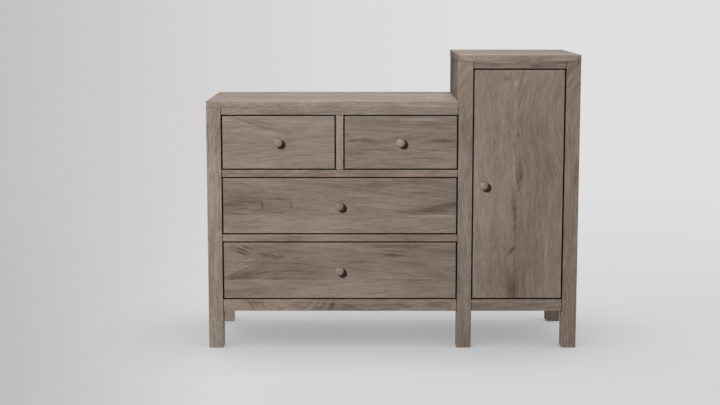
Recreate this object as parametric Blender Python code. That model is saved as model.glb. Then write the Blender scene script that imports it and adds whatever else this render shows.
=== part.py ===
"""A combination chest: two small drawers over two wide ones, beside a tall cupboard with one door.

It runs with blender --background --python part.py, or from Blender's text editor. Sizes are in metres, +Z
is up and the chest faces -Y. The origin lies on the floor, under the middle of the box that holds it all.
"""

import math

import bmesh
import bpy
from mathutils import Vector

# Case, from left to right
POST_WIDTH = 0.0515
LOW_OPENING_WIDTH = 0.825
DOOR_OPENING_WIDTH = 0.3205
DIVIDER_WIDTH = 0.027

# Case, from front to back
TOP_DEPTH = 0.500
REAR_OVERHANG = 0.020
POST_DEPTH = 0.055
RAIL_SETBACK = 0.002
RAIL_THICKNESS = 0.022

# Case, from the floor up; the bottom drawer's bay takes what the other heights leave
TALL_HEIGHT = 1.035
LOW_HEIGHT = 0.875
TOP_THICKNESS = 0.022
RAIL_HEIGHT = 0.026
TOP_BAY_HEIGHT = 0.1915
MIDDLE_BAY_HEIGHT = 0.2025
BOTTOM_RAIL_HEIGHT = 0.0425
FLOOR_CLEARANCE = 0.1325

# Side, partition and back panels
PANEL_THICKNESS = 0.020
BACK_THICKNESS = 0.008

# Cupboard floor and shelves, let into the panels on both sides
SHELF_THICKNESS = 0.018
SHELF_SPACING = 0.264
SHELF_SETBACK = 0.012
SHELF_HOUSING = 0.006
FLOOR_DROP = 0.002

# Drawer fronts and door, inset between the posts and rails
FRONT_THICKNESS = 0.020
SHADOW_GAP = 0.0035

# Drawer boxes
DRAWER_BOX_INSET = 0.010
DRAWER_SIDE_THICKNESS = 0.012
DRAWER_SIDE_DROP = 0.014
DRAWER_BACK_THICKNESS = 0.012
DRAWER_BOTTOM_THICKNESS = 0.006
DRAWER_REAR_CLEARANCE = 0.025
GROOVE_HEIGHT = 0.008
GROOVE_DEPTH = 0.005

# Drawer runners, each with a guide standing on it
RUNNER_HEIGHT = 0.018
RUNNER_BEARING = 0.016
GUIDE_HEIGHT = 0.018
GUIDE_CLEARANCE = 0.001

# Turned knobs
KNOB_DIAMETER = 0.032
KNOB_PROJECTION = 0.027
KNOB_RIM_HEIGHT = 0.016
KNOB_BASE_DIAMETER = 0.018
KNOB_NECK_DIAMETER = 0.014
KNOB_NECK_HEIGHT = 0.007
DOOR_KNOB_INSET = 0.036

# Pivot hinges, let into the door's upper and lower edges and the rails
PIVOT_FROM_EDGE = 0.010
PIVOT_FROM_FACE = 0.008
HINGE_LEAF_LENGTH = 0.038
HINGE_LEAF_END = 0.0075
HINGE_LEAF_WIDTH = 0.012
HINGE_LEAF_THICKNESS = 0.0025
HINGE_PIN_DIAMETER = 0.005
HINGE_COLLAR_DIAMETER = 0.009
HINGE_PIN_CLEARANCE = 0.0001

# Magnetic catch on the middle post
CATCH_LENGTH = 0.045
CATCH_WIDTH = 0.014
CATCH_DEPTH = 0.028
CATCH_DROP = 0.060
CATCH_CLEARANCE = 0.0005

# Fits and edges
JOINT_GAP = 0.0003
RUNNING_GAP = 0.0003
CASE_EDGE = 0.002
FRONT_EDGE = 0.0015
INNER_EDGE = 0.0008
EDGE_STEPS = 2
ROUND_STEPS = 24
CUT_OVERRUN = 0.002

# Places worked out from the sizes: x from the middle, y from the posts' front faces, z from the floor
WIDTH = 3 * POST_WIDTH + LOW_OPENING_WIDTH + DOOR_OPENING_WIDTH
LEFT = -WIDTH / 2
RIGHT = WIDTH / 2
LOW_OPENING_LEFT = LEFT + POST_WIDTH
TALL_LEFT = LOW_OPENING_LEFT + LOW_OPENING_WIDTH
DOOR_OPENING_LEFT = TALL_LEFT + POST_WIDTH
DOOR_OPENING_RIGHT = RIGHT - POST_WIDTH
DIVIDER_LEFT = (LOW_OPENING_LEFT + TALL_LEFT - DIVIDER_WIDTH) / 2
DIVIDER_RIGHT = DIVIDER_LEFT + DIVIDER_WIDTH
LEFT_WALL = LEFT + PANEL_THICKNESS
PARTITION_RIGHT = TALL_LEFT + PANEL_THICKNESS
RIGHT_WALL = RIGHT - PANEL_THICKNESS

RAIL_BACK = RAIL_SETBACK + RAIL_THICKNESS
REAR_FACE = TOP_DEPTH - REAR_OVERHANG
REAR_POST_FRONT = REAR_FACE - POST_DEPTH
BACK_FRONT = REAR_FACE - BACK_THICKNESS
DRAWER_LENGTH = BACK_FRONT - DRAWER_REAR_CLEARANCE - RAIL_SETBACK

TALL_TOP = TALL_HEIGHT - TOP_THICKNESS
TALL_TOP_RAIL = TALL_TOP - RAIL_HEIGHT
LOW_TOP = LOW_HEIGHT - TOP_THICKNESS
LOW_TOP_RAIL = LOW_TOP - RAIL_HEIGHT
TOP_BAY = LOW_TOP_RAIL - TOP_BAY_HEIGHT
UPPER_RAIL = TOP_BAY - RAIL_HEIGHT
MIDDLE_BAY = UPPER_RAIL - MIDDLE_BAY_HEIGHT
LOWER_RAIL = MIDDLE_BAY - RAIL_HEIGHT
BOTTOM_BAY = FLOOR_CLEARANCE + BOTTOM_RAIL_HEIGHT
BOTTOM_BAY_HEIGHT = LOWER_RAIL - BOTTOM_BAY

DOOR_WIDTH = DOOR_OPENING_WIDTH - 2 * SHADOW_GAP
DOOR_HEIGHT = TALL_TOP_RAIL - BOTTOM_BAY - 2 * SHADOW_GAP
PIVOT_X = DOOR_OPENING_RIGHT - SHADOW_GAP - PIVOT_FROM_EDGE
PIVOT_Y = RAIL_SETBACK + PIVOT_FROM_FACE

KNOB_TIP = RAIL_SETBACK - JOINT_GAP - KNOB_PROJECTION
BOX_MIDDLE = (KNOB_TIP + TOP_DEPTH) / 2

# Sides of a board
LEFTWARD = Vector((-1, 0, 0))
RIGHTWARD = Vector((1, 0, 0))
UNDER = Vector((0, 0, -1))
UPPER = Vector((0, 0, 1))


def finish(name, colour, roughness, metallic=0.0):
    """A plain material, its colour given as linear red, green and blue."""
    made = bpy.data.materials.new(name)
    made.use_nodes = True
    shader = made.node_tree.nodes["Principled BSDF"]
    shader.inputs["Base Color"].default_value = (*colour, 1.0)
    shader.inputs["Roughness"].default_value = roughness
    shader.inputs["Metallic"].default_value = metallic
    made.diffuse_color = (*colour, 1.0)
    return made


def holder(name, location, parent=None):
    """An empty that carries the pieces of one body."""
    made = bpy.data.objects.new(name, None)
    made.location = location
    made.parent = parent
    bpy.context.collection.objects.link(made)
    return made


def piece(name, shape, coat, carrier, location, rotation=(0.0, 0.0, 0.0)):
    """An object made from a bmesh, placed in its carrier's frame."""
    mesh = bpy.data.meshes.new(name)
    shape.to_mesh(mesh)
    shape.free()
    made = bpy.data.objects.new(name, mesh)
    made.parent = carrier
    made.location = location
    made.rotation_euler = rotation
    if coat:
        mesh.materials.append(coat)
    bpy.context.collection.objects.link(made)
    return made


def cutting_tool(made):
    """Hides a shape that only cuts or joins another."""
    made.hide_render = True
    made.display_type = "WIRE"
    return made


def apply_boolean(made, tool, operation="DIFFERENCE"):
    modifier = made.modifiers.new(tool.name, "BOOLEAN")
    modifier.operation = operation
    modifier.object = tool


def ease_edges(made, width):
    """Rounds a board's edges by this width, apart from those of its joined sides."""
    modifier = made.modifiers.new("eased_edges", "BEVEL")
    modifier.width = width
    modifier.segments = EDGE_STEPS
    modifier.limit_method = "WEIGHT"


def block(size, joined=()):
    """A bmesh box of this size, round its own middle; the edges of its joined sides are marked to stay square."""
    shape = bmesh.new()
    bmesh.ops.create_cube(shape, size=2.0)
    weight = shape.edges.layers.float.new("bevel_weight_edge")
    for edge in shape.edges:
        square = any(all(vert.co.dot(side) > 0.0 for vert in edge.verts) for side in joined)
        edge[weight] = 0.0 if square else 1.0
    bmesh.ops.scale(shape, vec=[length / 2 for length in size], verts=shape.verts)
    return shape


def board(name, low, high, coat, carrier, edge=0.0, joined=()):
    """A board between two opposite corners, its edges eased but for the sides that butt against others."""
    size = [b - a for a, b in zip(low, high)]
    middle = [(a + b) / 2 for a, b in zip(low, high)]
    made = piece(name, block(size, joined), coat, carrier, middle)
    if edge:
        ease_edges(made, edge)
    return made


def box_tool(name, low, high, carrier):
    return cutting_tool(board(name, low, high, None, carrier))


def prism(outline, height):
    """A bmesh with this outline on its XY plane, drawn up by this height."""
    shape = bmesh.new()
    base = shape.faces.new([shape.verts.new((x, y, 0.0)) for x, y in outline])
    drawn = bmesh.ops.extrude_face_region(shape, geom=[base])["geom"]
    raised = [item for item in drawn if isinstance(item, bmesh.types.BMVert)]
    bmesh.ops.translate(shape, vec=(0.0, 0.0, height), verts=raised)
    bmesh.ops.recalc_face_normals(shape, faces=shape.faces)
    return shape


def turned(profile):
    """A bmesh turned round Z from points of radius and height that start and end on the axis."""
    shape = bmesh.new()
    points = [shape.verts.new((radius, 0.0, height)) for radius, height in profile]
    edges = [shape.edges.new(pair) for pair in zip(points, points[1:])]
    bmesh.ops.spin(
        shape,
        geom=points + edges,
        cent=(0.0, 0.0, 0.0),
        axis=(0.0, 0.0, 1.0),
        angle=2 * math.pi,
        steps=ROUND_STEPS,
        use_merge=True,
    )
    bmesh.ops.remove_doubles(shape, verts=shape.verts, dist=1e-6)
    bmesh.ops.recalc_face_normals(shape, faces=shape.faces)
    return shape


def smooth_round(made):
    made.data.shade_smooth()
    made.data.set_sharp_from_angle(angle=math.radians(40))


def make_posts(coat, case):
    """Square posts that run down to the floor as legs; the middle of the back has none."""
    low_end = LOW_TOP - JOINT_GAP
    tall_end = TALL_TOP - JOINT_GAP
    stands = (
        ("front_left_post", LEFT, 0.0, low_end),
        ("front_middle_post", TALL_LEFT, 0.0, tall_end),
        ("front_right_post", DOOR_OPENING_RIGHT, 0.0, tall_end),
        ("rear_left_post", LEFT, REAR_POST_FRONT, low_end),
        ("rear_right_post", DOOR_OPENING_RIGHT, REAR_POST_FRONT, tall_end),
    )
    for name, x, y, end in stands:
        board(name, (x, y, 0.0), (x + POST_WIDTH, y + POST_DEPTH, end), coat, case, CASE_EDGE, [UPPER])


def make_tops(coat, case):
    low_end = (TALL_LEFT - JOINT_GAP, TOP_DEPTH, LOW_HEIGHT)
    board("low_top", (LEFT, 0.0, LOW_TOP), low_end, coat, case, CASE_EDGE, [UNDER, RIGHTWARD])
    tall_end = (RIGHT, TOP_DEPTH, TALL_HEIGHT)
    board("tall_top", (TALL_LEFT, 0.0, TALL_TOP), tall_end, coat, case, CASE_EDGE, [UNDER])


def make_rails(coat, case):
    """Cross rails between the posts, and the upright between the two small drawers."""
    low_span = (LOW_OPENING_LEFT, TALL_LEFT)
    tall_span = (DOOR_OPENING_LEFT, DOOR_OPENING_RIGHT)
    rails = (
        ("low_top_rail", low_span, LOW_TOP_RAIL, LOW_TOP - JOINT_GAP),
        ("upper_drawer_rail", low_span, UPPER_RAIL, TOP_BAY),
        ("lower_drawer_rail", low_span, LOWER_RAIL, MIDDLE_BAY),
        ("low_bottom_rail", low_span, FLOOR_CLEARANCE, BOTTOM_BAY),
        ("tall_top_rail", tall_span, TALL_TOP_RAIL, TALL_TOP - JOINT_GAP),
        ("tall_bottom_rail", tall_span, FLOOR_CLEARANCE, BOTTOM_BAY),
    )
    made = {}
    for name, (left, right), low, high in rails:
        start = (left + JOINT_GAP, RAIL_SETBACK, low)
        end = (right - JOINT_GAP, RAIL_BACK, high)
        made[name] = board(name, start, end, coat, case, FRONT_EDGE, [LEFTWARD, RIGHTWARD])
    start = (DIVIDER_LEFT, RAIL_SETBACK, TOP_BAY + JOINT_GAP)
    end = (DIVIDER_RIGHT, RAIL_BACK, LOW_TOP_RAIL - JOINT_GAP)
    board("drawer_divider", start, end, coat, case, FRONT_EDGE, [UNDER, UPPER])
    return made


def make_panels(coat, back_coat, case):
    """Side panels between the posts, the partition under the tall top, and the two backs."""
    front = POST_DEPTH + JOINT_GAP
    rear = REAR_POST_FRONT - JOINT_GAP
    low_end = LOW_TOP - JOINT_GAP
    tall_end = TALL_TOP - JOINT_GAP
    left = ((LEFT, front, FLOOR_CLEARANCE), (LEFT_WALL, rear, low_end))
    board("left_side_panel", *left, coat, case, INNER_EDGE)
    middle = ((TALL_LEFT, front, FLOOR_CLEARANCE), (PARTITION_RIGHT, REAR_FACE, tall_end))
    partition = board("partition_panel", *middle, coat, case, INNER_EDGE)
    right = ((RIGHT_WALL, front, FLOOR_CLEARANCE), (RIGHT, rear, tall_end))
    right_panel = board("right_side_panel", *right, coat, case, INNER_EDGE)

    backs = (
        ("low_back_panel", LOW_OPENING_LEFT, TALL_LEFT, low_end),
        ("tall_back_panel", PARTITION_RIGHT, DOOR_OPENING_RIGHT, tall_end),
    )
    for name, back_left, back_right, end in backs:
        start = (back_left + JOINT_GAP, BACK_FRONT, FLOOR_CLEARANCE)
        board(name, start, (back_right - JOINT_GAP, REAR_FACE, end), back_coat, case, INNER_EDGE)
    return partition, right_panel


def shelf_outline(front, fit):
    """The plan of a shelf let into both panels and notched round the rear post; fit is its clearance."""
    left = PARTITION_RIGHT - SHELF_HOUSING + fit
    right = RIGHT_WALL + SHELF_HOUSING - fit
    notch_x = DOOR_OPENING_RIGHT - JOINT_GAP
    notch_y = REAR_POST_FRONT - JOINT_GAP
    rear = BACK_FRONT - JOINT_GAP
    return [
        (left, front),
        (right, front),
        (right, notch_y),
        (notch_x, notch_y),
        (notch_x, rear),
        (left, rear),
    ]


def floor_outline(fit):
    """The shelf's plan with a tongue that reaches forward between the posts to the bottom rail."""
    behind_posts = POST_DEPTH + JOINT_GAP
    reach = RAIL_BACK + JOINT_GAP
    tongue_left = DOOR_OPENING_LEFT + JOINT_GAP
    tongue_right = DOOR_OPENING_RIGHT - JOINT_GAP
    tongue = [
        (tongue_left, behind_posts),
        (tongue_left, reach),
        (tongue_right, reach),
        (tongue_right, behind_posts),
    ]
    left, *others = shelf_outline(behind_posts, fit)
    return [left, *tongue, *others]


def make_shelves(coat, case, walls):
    """The cupboard floor and two shelves, with the grooves that carry them cut in the walls."""
    shelf_front = POST_DEPTH + SHELF_SETBACK
    floor_under = BOTTOM_BAY - FLOOR_DROP - SHELF_THICKNESS
    levels = (
        ("cupboard_floor", floor_outline(JOINT_GAP), POST_DEPTH, floor_under),
        ("lower_shelf", shelf_outline(shelf_front, JOINT_GAP), shelf_front, floor_under + SHELF_SPACING),
        ("upper_shelf", shelf_outline(shelf_front, JOINT_GAP), shelf_front, floor_under + 2 * SHELF_SPACING),
    )
    for name, outline, front, under in levels:
        piece(name, prism(outline, SHELF_THICKNESS), coat, case, (0.0, 0.0, under))
        groove_low = (PARTITION_RIGHT - SHELF_HOUSING, front - JOINT_GAP, under - JOINT_GAP)
        groove_high = (RIGHT_WALL + SHELF_HOUSING, REAR_FACE + CUT_OVERRUN, under + SHELF_THICKNESS + JOINT_GAP)
        groove = box_tool(name + "_groove", groove_low, groove_high, case)
        for wall in walls:
            apply_boolean(wall, groove)


def lengthwise(name, outline, front, rear, coat, case):
    """A bar that runs front to back, its outline given as x and z."""
    piece(name, prism(outline, rear - front), coat, case, (0.0, rear, 0.0), (math.pi / 2, 0.0, 0.0))


def side_runner_outline(wall, drawer_side, top):
    """An L: a ledge under the drawer's side and a guide beside it, from the wall it is fixed to."""
    inward = math.copysign(1.0, drawer_side - wall)
    ledge = drawer_side + inward * RUNNER_BEARING
    guide = drawer_side - inward * GUIDE_CLEARANCE
    return [
        (wall, top - RUNNER_HEIGHT),
        (ledge, top - RUNNER_HEIGHT),
        (ledge, top),
        (guide, top),
        (guide, top + GUIDE_HEIGHT),
        (wall, top + GUIDE_HEIGHT),
    ]


def centre_runner_outline(left_side, right_side, top):
    """An upturned T that carries the neighbouring sides of both small drawers."""
    return [
        (left_side - RUNNER_BEARING, top - RUNNER_HEIGHT),
        (right_side + RUNNER_BEARING, top - RUNNER_HEIGHT),
        (right_side + RUNNER_BEARING, top),
        (right_side - GUIDE_CLEARANCE, top),
        (right_side - GUIDE_CLEARANCE, top + GUIDE_HEIGHT),
        (left_side + GUIDE_CLEARANCE, top + GUIDE_HEIGHT),
        (left_side + GUIDE_CLEARANCE, top),
        (left_side - RUNNER_BEARING, top),
    ]


def make_runners(coat, case):
    """Wooden runners on the left panel and the partition, and one behind the divider."""
    edge_to_side = SHADOW_GAP + DRAWER_BOX_INSET
    left_side = LOW_OPENING_LEFT + edge_to_side
    right_side = TALL_LEFT - edge_to_side
    rail_rear = RAIL_BACK + JOINT_GAP
    back_front = BACK_FRONT - JOINT_GAP
    for name, bay in (("top", TOP_BAY), ("middle", MIDDLE_BAY), ("bottom", BOTTOM_BAY)):
        runner_top = bay + SHADOW_GAP - RUNNING_GAP
        left_outline = side_runner_outline(LEFT_WALL + JOINT_GAP, left_side, runner_top)
        left_front = POST_DEPTH + JOINT_GAP
        left_rear = REAR_POST_FRONT - JOINT_GAP
        lengthwise(name + "_left_runner", left_outline, left_front, left_rear, coat, case)
        right_outline = side_runner_outline(TALL_LEFT - JOINT_GAP, right_side, runner_top)
        lengthwise(name + "_right_runner", right_outline, rail_rear, back_front, coat, case)
    centre_outline = centre_runner_outline(
        DIVIDER_LEFT - edge_to_side,
        DIVIDER_RIGHT + edge_to_side,
        TOP_BAY + SHADOW_GAP - RUNNING_GAP,
    )
    lengthwise("top_centre_runner", centre_outline, rail_rear, back_front, coat, case)


def arc(start, end, steps, start_angle, end_angle):
    """Points after start on an elliptical quarter turn to end, between two angles of the ellipse."""
    sweep = [start_angle + (end_angle - start_angle) * i / steps for i in range(1, steps + 1)]
    span_cos = math.cos(end_angle) - math.cos(start_angle)
    span_sin = math.sin(end_angle) - math.sin(start_angle)
    return [
        (
            start[0] + (end[0] - start[0]) * (math.cos(a) - math.cos(start_angle)) / span_cos,
            start[1] + (end[1] - start[1]) * (math.sin(a) - math.sin(start_angle)) / span_sin,
        )
        for a in sweep
    ]


def knob_profile():
    """A flared foot drawn in to a neck, then a mushroom head with a domed face."""
    foot = (KNOB_BASE_DIAMETER / 2, 0.0)
    neck = (KNOB_NECK_DIAMETER / 2, KNOB_NECK_HEIGHT)
    rim = (KNOB_DIAMETER / 2, KNOB_RIM_HEIGHT)
    crown = (0.0, KNOB_PROJECTION)
    quarter = math.pi / 2
    return [
        (0.0, 0.0),
        foot,
        *arc(foot, neck, 3, -quarter, -2 * quarter),
        *arc(neck, rim, 4, -quarter, 0.0),
        *arc(rim, crown, 6, 0.0, quarter),
    ]


def make_knob(name, coat, carrier, location):
    """A turned knob standing out of a front, towards -Y."""
    knob = piece(name, turned(knob_profile()), coat, carrier, location, (math.pi / 2, 0.0, 0.0))
    smooth_round(knob)


def make_drawer(name, bay_left, bay_right, bay_low, bay_height, coats, case):
    """A drawer in its own frame: x from its middle, y from its face, z from its lower edge."""
    width = bay_right - bay_left - 2 * SHADOW_GAP
    height = bay_height - 2 * SHADOW_GAP
    place = ((bay_left + bay_right) / 2, RAIL_SETBACK, bay_low + SHADOW_GAP)
    drawer = holder(name, place, case)

    outer = width / 2 - DRAWER_BOX_INSET
    inner = outer - DRAWER_SIDE_THICKNESS
    box_front = FRONT_THICKNESS + JOINT_GAP
    box_top = height - DRAWER_SIDE_DROP
    bottom_top = GROOVE_HEIGHT + DRAWER_BOTTOM_THICKNESS

    start = (-width / 2, 0.0, 0.0)
    end = (width / 2, FRONT_THICKNESS, height)
    front = board(name + "_front", start, end, coats["front"], drawer, FRONT_EDGE)
    sides = [
        board(
            f"{name}_{word}_side",
            (min(sign * inner, sign * outer), box_front, 0.0),
            (max(sign * inner, sign * outer), DRAWER_LENGTH, box_top),
            coats["box"],
            drawer,
            INNER_EDGE,
        )
        for word, sign in (("left", -1), ("right", 1))
    ]
    start = (-inner + JOINT_GAP, DRAWER_LENGTH - DRAWER_BACK_THICKNESS, bottom_top + JOINT_GAP)
    end = (inner - JOINT_GAP, DRAWER_LENGTH, box_top)
    board(name + "_back", start, end, coats["box"], drawer, INNER_EDGE)

    reach = GROOVE_DEPTH - JOINT_GAP
    start = (-inner - reach, FRONT_THICKNESS - reach, GROOVE_HEIGHT)
    end = (inner + reach, DRAWER_LENGTH, bottom_top)
    board(name + "_bottom", start, end, coats["bottom"], drawer)

    start = (-inner - GROOVE_DEPTH, FRONT_THICKNESS - GROOVE_DEPTH, GROOVE_HEIGHT - JOINT_GAP)
    end = (inner + GROOVE_DEPTH, DRAWER_LENGTH + CUT_OVERRUN, bottom_top + JOINT_GAP)
    groove = box_tool(name + "_groove", start, end, drawer)
    for grooved in (front, *sides):
        apply_boolean(grooved, groove)

    make_knob(name + "_knob", coats["knob"], drawer, (0.0, -JOINT_GAP, height / 2))


def hinge_plate():
    """A hinge leaf round its pivot, its open face at z = 0 and its body below."""
    shape = block((HINGE_LEAF_LENGTH, HINGE_LEAF_WIDTH, HINGE_LEAF_THICKNESS))
    offset = (HINGE_LEAF_END - HINGE_LEAF_LENGTH / 2, 0.0, -HINGE_LEAF_THICKNESS / 2)
    bmesh.ops.translate(shape, vec=offset, verts=shape.verts)
    return shape


def make_frame_leaf(name, coat, case, location, rotation):
    """The leaf in a rail, with a collar that bears the door and a pin that enters the door's leaf."""
    leaf = piece(name, hinge_plate(), coat, case, location, rotation)
    collar = SHADOW_GAP - RUNNING_GAP
    tip = SHADOW_GAP + HINGE_LEAF_THICKNESS - JOINT_GAP
    root = -HINGE_LEAF_THICKNESS / 2
    profile = [
        (0.0, root),
        (HINGE_COLLAR_DIAMETER / 2, root),
        (HINGE_COLLAR_DIAMETER / 2, collar),
        (HINGE_PIN_DIAMETER / 2, collar),
        (HINGE_PIN_DIAMETER / 2, tip),
        (0.0, tip),
    ]
    pin = piece(name + "_pin", turned(profile), None, case, location, rotation)
    apply_boolean(leaf, cutting_tool(pin), "UNION")


def make_door_leaf(name, coat, door, location, rotation):
    """The leaf in the door's edge, with a hole that turns on the pin."""
    leaf = piece(name, hinge_plate(), coat, door, location, rotation)
    radius = HINGE_PIN_DIAMETER / 2 + HINGE_PIN_CLEARANCE
    low = -HINGE_LEAF_THICKNESS - CUT_OVERRUN
    profile = [(0.0, low), (radius, low), (radius, CUT_OVERRUN), (0.0, CUT_OVERRUN)]
    hole = piece(name + "_hole", turned(profile), None, door, location, rotation)
    apply_boolean(leaf, cutting_tool(hole))


def cut_leaf_seat(made, name, carrier, location, upward):
    """Cuts the shallow seat of a hinge leaf; upward says that its open face looks up."""
    x, y, z = location
    depth = HINGE_LEAF_THICKNESS + JOINT_GAP
    low_z = z - depth if upward else z - CUT_OVERRUN
    high_z = z + CUT_OVERRUN if upward else z + depth
    half_width = HINGE_LEAF_WIDTH / 2 + JOINT_GAP
    start = (x + HINGE_LEAF_END - HINGE_LEAF_LENGTH - JOINT_GAP, y - half_width, low_z)
    end = (x + HINGE_LEAF_END + JOINT_GAP, y + half_width, high_z)
    apply_boolean(made, box_tool(name, start, end, carrier))


def make_door(coats, rails, case):
    """The door in its own frame, turning on the Z axis of its carrier, with both of its hinges."""
    door_low = BOTTOM_BAY + SHADOW_GAP
    door = holder("door_pivot", (PIVOT_X, PIVOT_Y, door_low), case)
    free_edge = PIVOT_FROM_EDGE - DOOR_WIDTH
    start = (free_edge, -PIVOT_FROM_FACE, 0.0)
    end = (PIVOT_FROM_EDGE, FRONT_THICKNESS - PIVOT_FROM_FACE, DOOR_HEIGHT)
    slab = board("door", start, end, coats["front"], door, FRONT_EDGE)
    knob_place = (free_edge + DOOR_KNOB_INSET, -PIVOT_FROM_FACE - JOINT_GAP, DOOR_HEIGHT / 2)
    make_knob("door_knob", coats["knob"], door, knob_place)

    level = (0.0, 0.0, 0.0)
    turned_over = (math.pi, 0.0, 0.0)
    upper_edge = (0.0, 0.0, DOOR_HEIGHT)
    lower_edge = (0.0, 0.0, 0.0)
    make_door_leaf("upper_hinge_door_leaf", coats["hinge"], door, upper_edge, level)
    make_door_leaf("lower_hinge_door_leaf", coats["hinge"], door, lower_edge, turned_over)
    cut_leaf_seat(slab, "upper_door_seat", door, upper_edge, True)
    cut_leaf_seat(slab, "lower_door_seat", door, lower_edge, False)

    upper_seat = (PIVOT_X, PIVOT_Y, TALL_TOP_RAIL)
    lower_seat = (PIVOT_X, PIVOT_Y, BOTTOM_BAY)
    make_frame_leaf("upper_hinge_frame_leaf", coats["hinge"], case, upper_seat, turned_over)
    make_frame_leaf("lower_hinge_frame_leaf", coats["hinge"], case, lower_seat, level)
    cut_leaf_seat(rails["tall_top_rail"], "upper_rail_seat", case, upper_seat, False)
    cut_leaf_seat(rails["tall_bottom_rail"], "lower_rail_seat", case, lower_seat, True)


def make_catch(coat, case):
    """A magnetic catch screwed to the middle post, which stops the door flush with the rails."""
    left = DOOR_OPENING_LEFT + JOINT_GAP
    front = RAIL_SETBACK + FRONT_THICKNESS + CATCH_CLEARANCE
    upper = BOTTOM_BAY + SHADOW_GAP + DOOR_HEIGHT - CATCH_DROP
    start = (left, front, upper - CATCH_LENGTH)
    board("door_catch", start, (left + CATCH_WIDTH, front + CATCH_DEPTH, upper), coat, case, INNER_EDGE)


def main():
    for leftover in list(bpy.data.objects):
        bpy.data.objects.remove(leftover)

    case_coat = finish("grey_washed_wood", (0.235, 0.186, 0.152), 0.55)
    coats = {
        "front": finish("grey_washed_front", (0.230, 0.181, 0.147), 0.55),
        "knob": finish("grey_washed_knob", (0.255, 0.201, 0.163), 0.50),
        "box": finish("pale_drawer_wood", (0.540, 0.430, 0.310), 0.60),
        "bottom": finish("drawer_plywood", (0.580, 0.470, 0.350), 0.65),
        "hinge": finish("hinge_steel", (0.055, 0.050, 0.046), 0.45, 1.0),
    }
    back_coat = finish("back_board", (0.225, 0.180, 0.148), 0.65)
    catch_coat = finish("catch_plastic", (0.100, 0.085, 0.072), 0.50)

    case = holder("case", (0.0, -BOX_MIDDLE, 0.0))
    make_posts(case_coat, case)
    make_tops(case_coat, case)
    rails = make_rails(case_coat, case)
    walls = make_panels(case_coat, back_coat, case)
    make_shelves(case_coat, case, walls)
    make_runners(coats["box"], case)
    drawers = (
        ("left_drawer", LOW_OPENING_LEFT, DIVIDER_LEFT, TOP_BAY, TOP_BAY_HEIGHT),
        ("right_drawer", DIVIDER_RIGHT, TALL_LEFT, TOP_BAY, TOP_BAY_HEIGHT),
        ("middle_drawer", LOW_OPENING_LEFT, TALL_LEFT, MIDDLE_BAY, MIDDLE_BAY_HEIGHT),
        ("bottom_drawer", LOW_OPENING_LEFT, TALL_LEFT, BOTTOM_BAY, BOTTOM_BAY_HEIGHT),
    )
    for name, left, right, low, height in drawers:
        make_drawer(name, left, right, low, height, coats, case)
    make_door(coats, rails, case)
    make_catch(catch_coat, case)


main()
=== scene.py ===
"""Looks, light and camera of a combination dresser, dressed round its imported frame.

Lengths are in metres: x runs to the right, y to the back and z up from the floor.
"""

import math
from collections import namedtuple

import bmesh
import bpy
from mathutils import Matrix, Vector


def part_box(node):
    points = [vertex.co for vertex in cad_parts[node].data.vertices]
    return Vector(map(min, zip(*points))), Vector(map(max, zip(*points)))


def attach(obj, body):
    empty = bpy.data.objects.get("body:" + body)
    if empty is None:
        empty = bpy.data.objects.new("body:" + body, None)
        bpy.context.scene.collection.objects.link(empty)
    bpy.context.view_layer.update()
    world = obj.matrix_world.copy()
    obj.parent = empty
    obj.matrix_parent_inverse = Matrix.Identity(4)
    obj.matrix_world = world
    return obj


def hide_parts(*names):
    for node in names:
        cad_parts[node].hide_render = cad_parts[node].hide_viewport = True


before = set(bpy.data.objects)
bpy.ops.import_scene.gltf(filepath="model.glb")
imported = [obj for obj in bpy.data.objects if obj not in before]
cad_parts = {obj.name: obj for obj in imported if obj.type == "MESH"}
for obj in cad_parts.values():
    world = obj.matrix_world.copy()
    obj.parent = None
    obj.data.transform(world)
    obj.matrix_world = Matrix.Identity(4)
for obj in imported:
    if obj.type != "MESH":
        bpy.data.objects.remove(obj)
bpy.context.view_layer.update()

# Edges, turned work and sunk panels
CASE_EDGE = 0.002
FRONT_EDGE = 0.0015
EDGE_STEPS = 4
ROUND_STEPS = 64
SHARP_ANGLE = math.radians(50)
PANEL_RECESS = 0.006
RECESS_SLOPE = 0.0006

# Points closer than this are one point
WELD_GAP = 1e-6

# A distance that reaches past every side of the dresser
BEYOND = 9.0

# Sides of a board
LEFTWARD = Vector((-1, 0, 0))
RIGHTWARD = Vector((1, 0, 0))
FORWARD = Vector((0, -1, 0))
BACKWARD = Vector((0, 1, 0))
UNDER = Vector((0, 0, -1))
UPPER = Vector((0, 0, 1))

# Which of x, y and z, counted from 0, runs along the grain, across the shown face and into the board
UPRIGHT = (2, 0, 1)
LEVEL = (0, 2, 1)
FLAT = (0, 1, 2)
SIDE_ON = (2, 1, 0)
FRONT_TO_BACK = (1, 2, 0)

# Colours from the darkest streak or spot to the palest, as display values out of 255
GREY_WASH = ((58, 46, 39), (95, 82, 73), (124, 110, 99), (146, 132, 121), (170, 156, 146))
PALE_BOX = ((150, 124, 92), (178, 152, 118), (196, 172, 138), (208, 186, 154), (222, 203, 174))
BLACK_STEEL = ((44, 41, 38), (62, 58, 54), (92, 87, 81))
BROWN_PLASTIC = ((70, 61, 54), (88, 77, 68), (104, 92, 82))

# Painted shade on the edges of fronts and of the case that line an opening, where the gaps round the fronts
# fall in shade
FRONT_GAP_SHADE = (72, 61, 53)
CASE_GAP_SHADE = (26, 21, 18)

# Noise in the grain: its cycles per metre along the grain and across it, its detail and its roughness
FLOW = (2.2, 7.0, 0.5, 0.5)
PATCH = (9.0, 42.0, 2.0, 0.5)
STREAK = (6.5, 140.0, 3.0, 0.6)
DASH = (28.0, 280.0, 2.0, 0.55)
FIBRE = (40.0, 560.0, 2.0, 0.6)
HATCH = (95.0, 60.0, 2.0, 0.5)
PORE = (60.0, 1700.0, 1.0, 0.5)

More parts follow.
